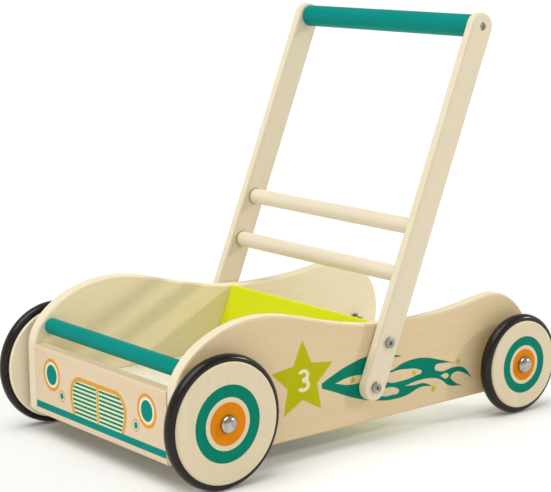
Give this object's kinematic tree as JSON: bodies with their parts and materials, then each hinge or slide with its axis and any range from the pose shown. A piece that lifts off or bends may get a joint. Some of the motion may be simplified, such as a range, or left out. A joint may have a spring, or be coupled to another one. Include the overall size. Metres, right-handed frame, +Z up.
{
  "type": "baby walker",
  "caption": "Wooden push-along walker shaped like an open-topped toy car, with a load tray, rubber-tyred wheels, two leaning posts and a round push handle.",
  "frame": {"origin": "on the ground under the middle of the overall length and width", "axes": "+Z up, -Y towards the car's front panel, +X towards the left side of a child pushing it"},
  "size_m": [0.3496, 0.5534, 0.46],
  "materials": {
    "birch_plywood": "clear satin lacquer on pale plywood",
    "rail_wood": "clear satin lacquer on pale turned dowel",
    "wheel_wood": "clear satin lacquer with printed rings",
    "teal_paint": "satin teal paint on turned wood",
    "lime_paint": "satin lime paint on plywood",
    "tyre_rubber": "smooth black rubber ring",
    "axle_chrome": "polished dome",
    "zinc_steel": "bright zinc plate",
    "white_nylon": "natural nylon"
  },
  "bodies": {
    "chassis": {"axle_bolt_front_left": "axle_chrome", "axle_bolt_front_right": "axle_chrome", "axle_bolt_rear_left": "axle_chrome", "axle_bolt_rear_right": "axle_chrome", "axle_nut_front_left": "zinc_steel", "axle_nut_front_right": "zinc_steel", "axle_nut_rear_left": "zinc_steel", "axle_nut_rear_right": "zinc_steel", "axle_spacer_front_left": "white_nylon", "axle_spacer_front_right": "white_nylon", "axle_spacer_rear_left": "white_nylon", "axle_spacer_rear_right": "white_nylon", "axle_washer_front_left": "zinc_steel", "axle_washer_front_right": "zinc_steel", "axle_washer_rear_left": "zinc_steel", "axle_washer_rear_right": "zinc_steel", "barrel_nut_foot_left": "zinc_steel", "barrel_nut_foot_right": "zinc_steel", "barrel_nut_upper_left": "zinc_steel", "barrel_nut_upper_right": "zinc_steel", "floor_panel": "birch_plywood", "front_bar": "teal_paint", "front_bar_screw_left": "zinc_steel", "front_bar_screw_right": "zinc_steel", "front_panel": "birch_plywood", "front_panel_screw_high_left": "zinc_steel", "front_panel_screw_high_right": "zinc_steel", "front_panel_screw_low_left": "zinc_steel", "front_panel_screw_low_right": "zinc_steel", "handle_bar": "teal_paint", "handle_screw_left": "zinc_steel", "handle_screw_right": "zinc_steel", "lower_rail": "rail_wood", "post_bolt_foot_left": "zinc_steel", "post_bolt_foot_right": "zinc_steel", "post_bolt_upper_left": "zinc_steel", "post_bolt_upper_right": "zinc_steel", "post_left": "birch_plywood", "post_right": "birch_plywood", "rear_panel": "lime_paint", "side_panel_left": "birch_plywood", "side_panel_right": "birch_plywood", "upper_rail": "rail_wood"},
    "front_left_wheel": {"wheel_front_left": "wheel_wood", "tyre_front_left": "tyre_rubber", "wheel_bush_front_left": "white_nylon"},
    "front_right_wheel": {"wheel_front_right": "wheel_wood", "tyre_front_right": "tyre_rubber", "wheel_bush_front_right": "white_nylon"},
    "rear_left_wheel": {"wheel_rear_left": "wheel_wood", "tyre_rear_left": "tyre_rubber", "wheel_bush_rear_left": "white_nylon"},
    "rear_right_wheel": {"wheel_rear_right": "wheel_wood", "tyre_rear_right": "tyre_rubber", "wheel_bush_rear_right": "white_nylon"}
  },
  "joints": [
    {"name": "front_left_spin", "type": "hinge", "parent": "chassis", "child": "front_left_wheel", "pos_m": [0.1585, -0.20675, 0.07], "axis": [1, 0, 0], "continuous": true},
    {"name": "front_right_spin", "type": "hinge", "parent": "chassis", "child": "front_right_wheel", "pos_m": [-0.1585, -0.20675, 0.07], "axis": [1, 0, 0], "continuous": true},
    {"name": "rear_left_spin", "type": "hinge", "parent": "chassis", "child": "rear_left_wheel", "pos_m": [0.1585, 0.21925, 0.0575], "axis": [1, 0, 0], "continuous": true},
    {"name": "rear_right_spin", "type": "hinge", "parent": "chassis", "child": "rear_right_wheel", "pos_m": [-0.1585, 0.21925, 0.0575], "axis": [1, 0, 0], "continuous": true}
  ]
}
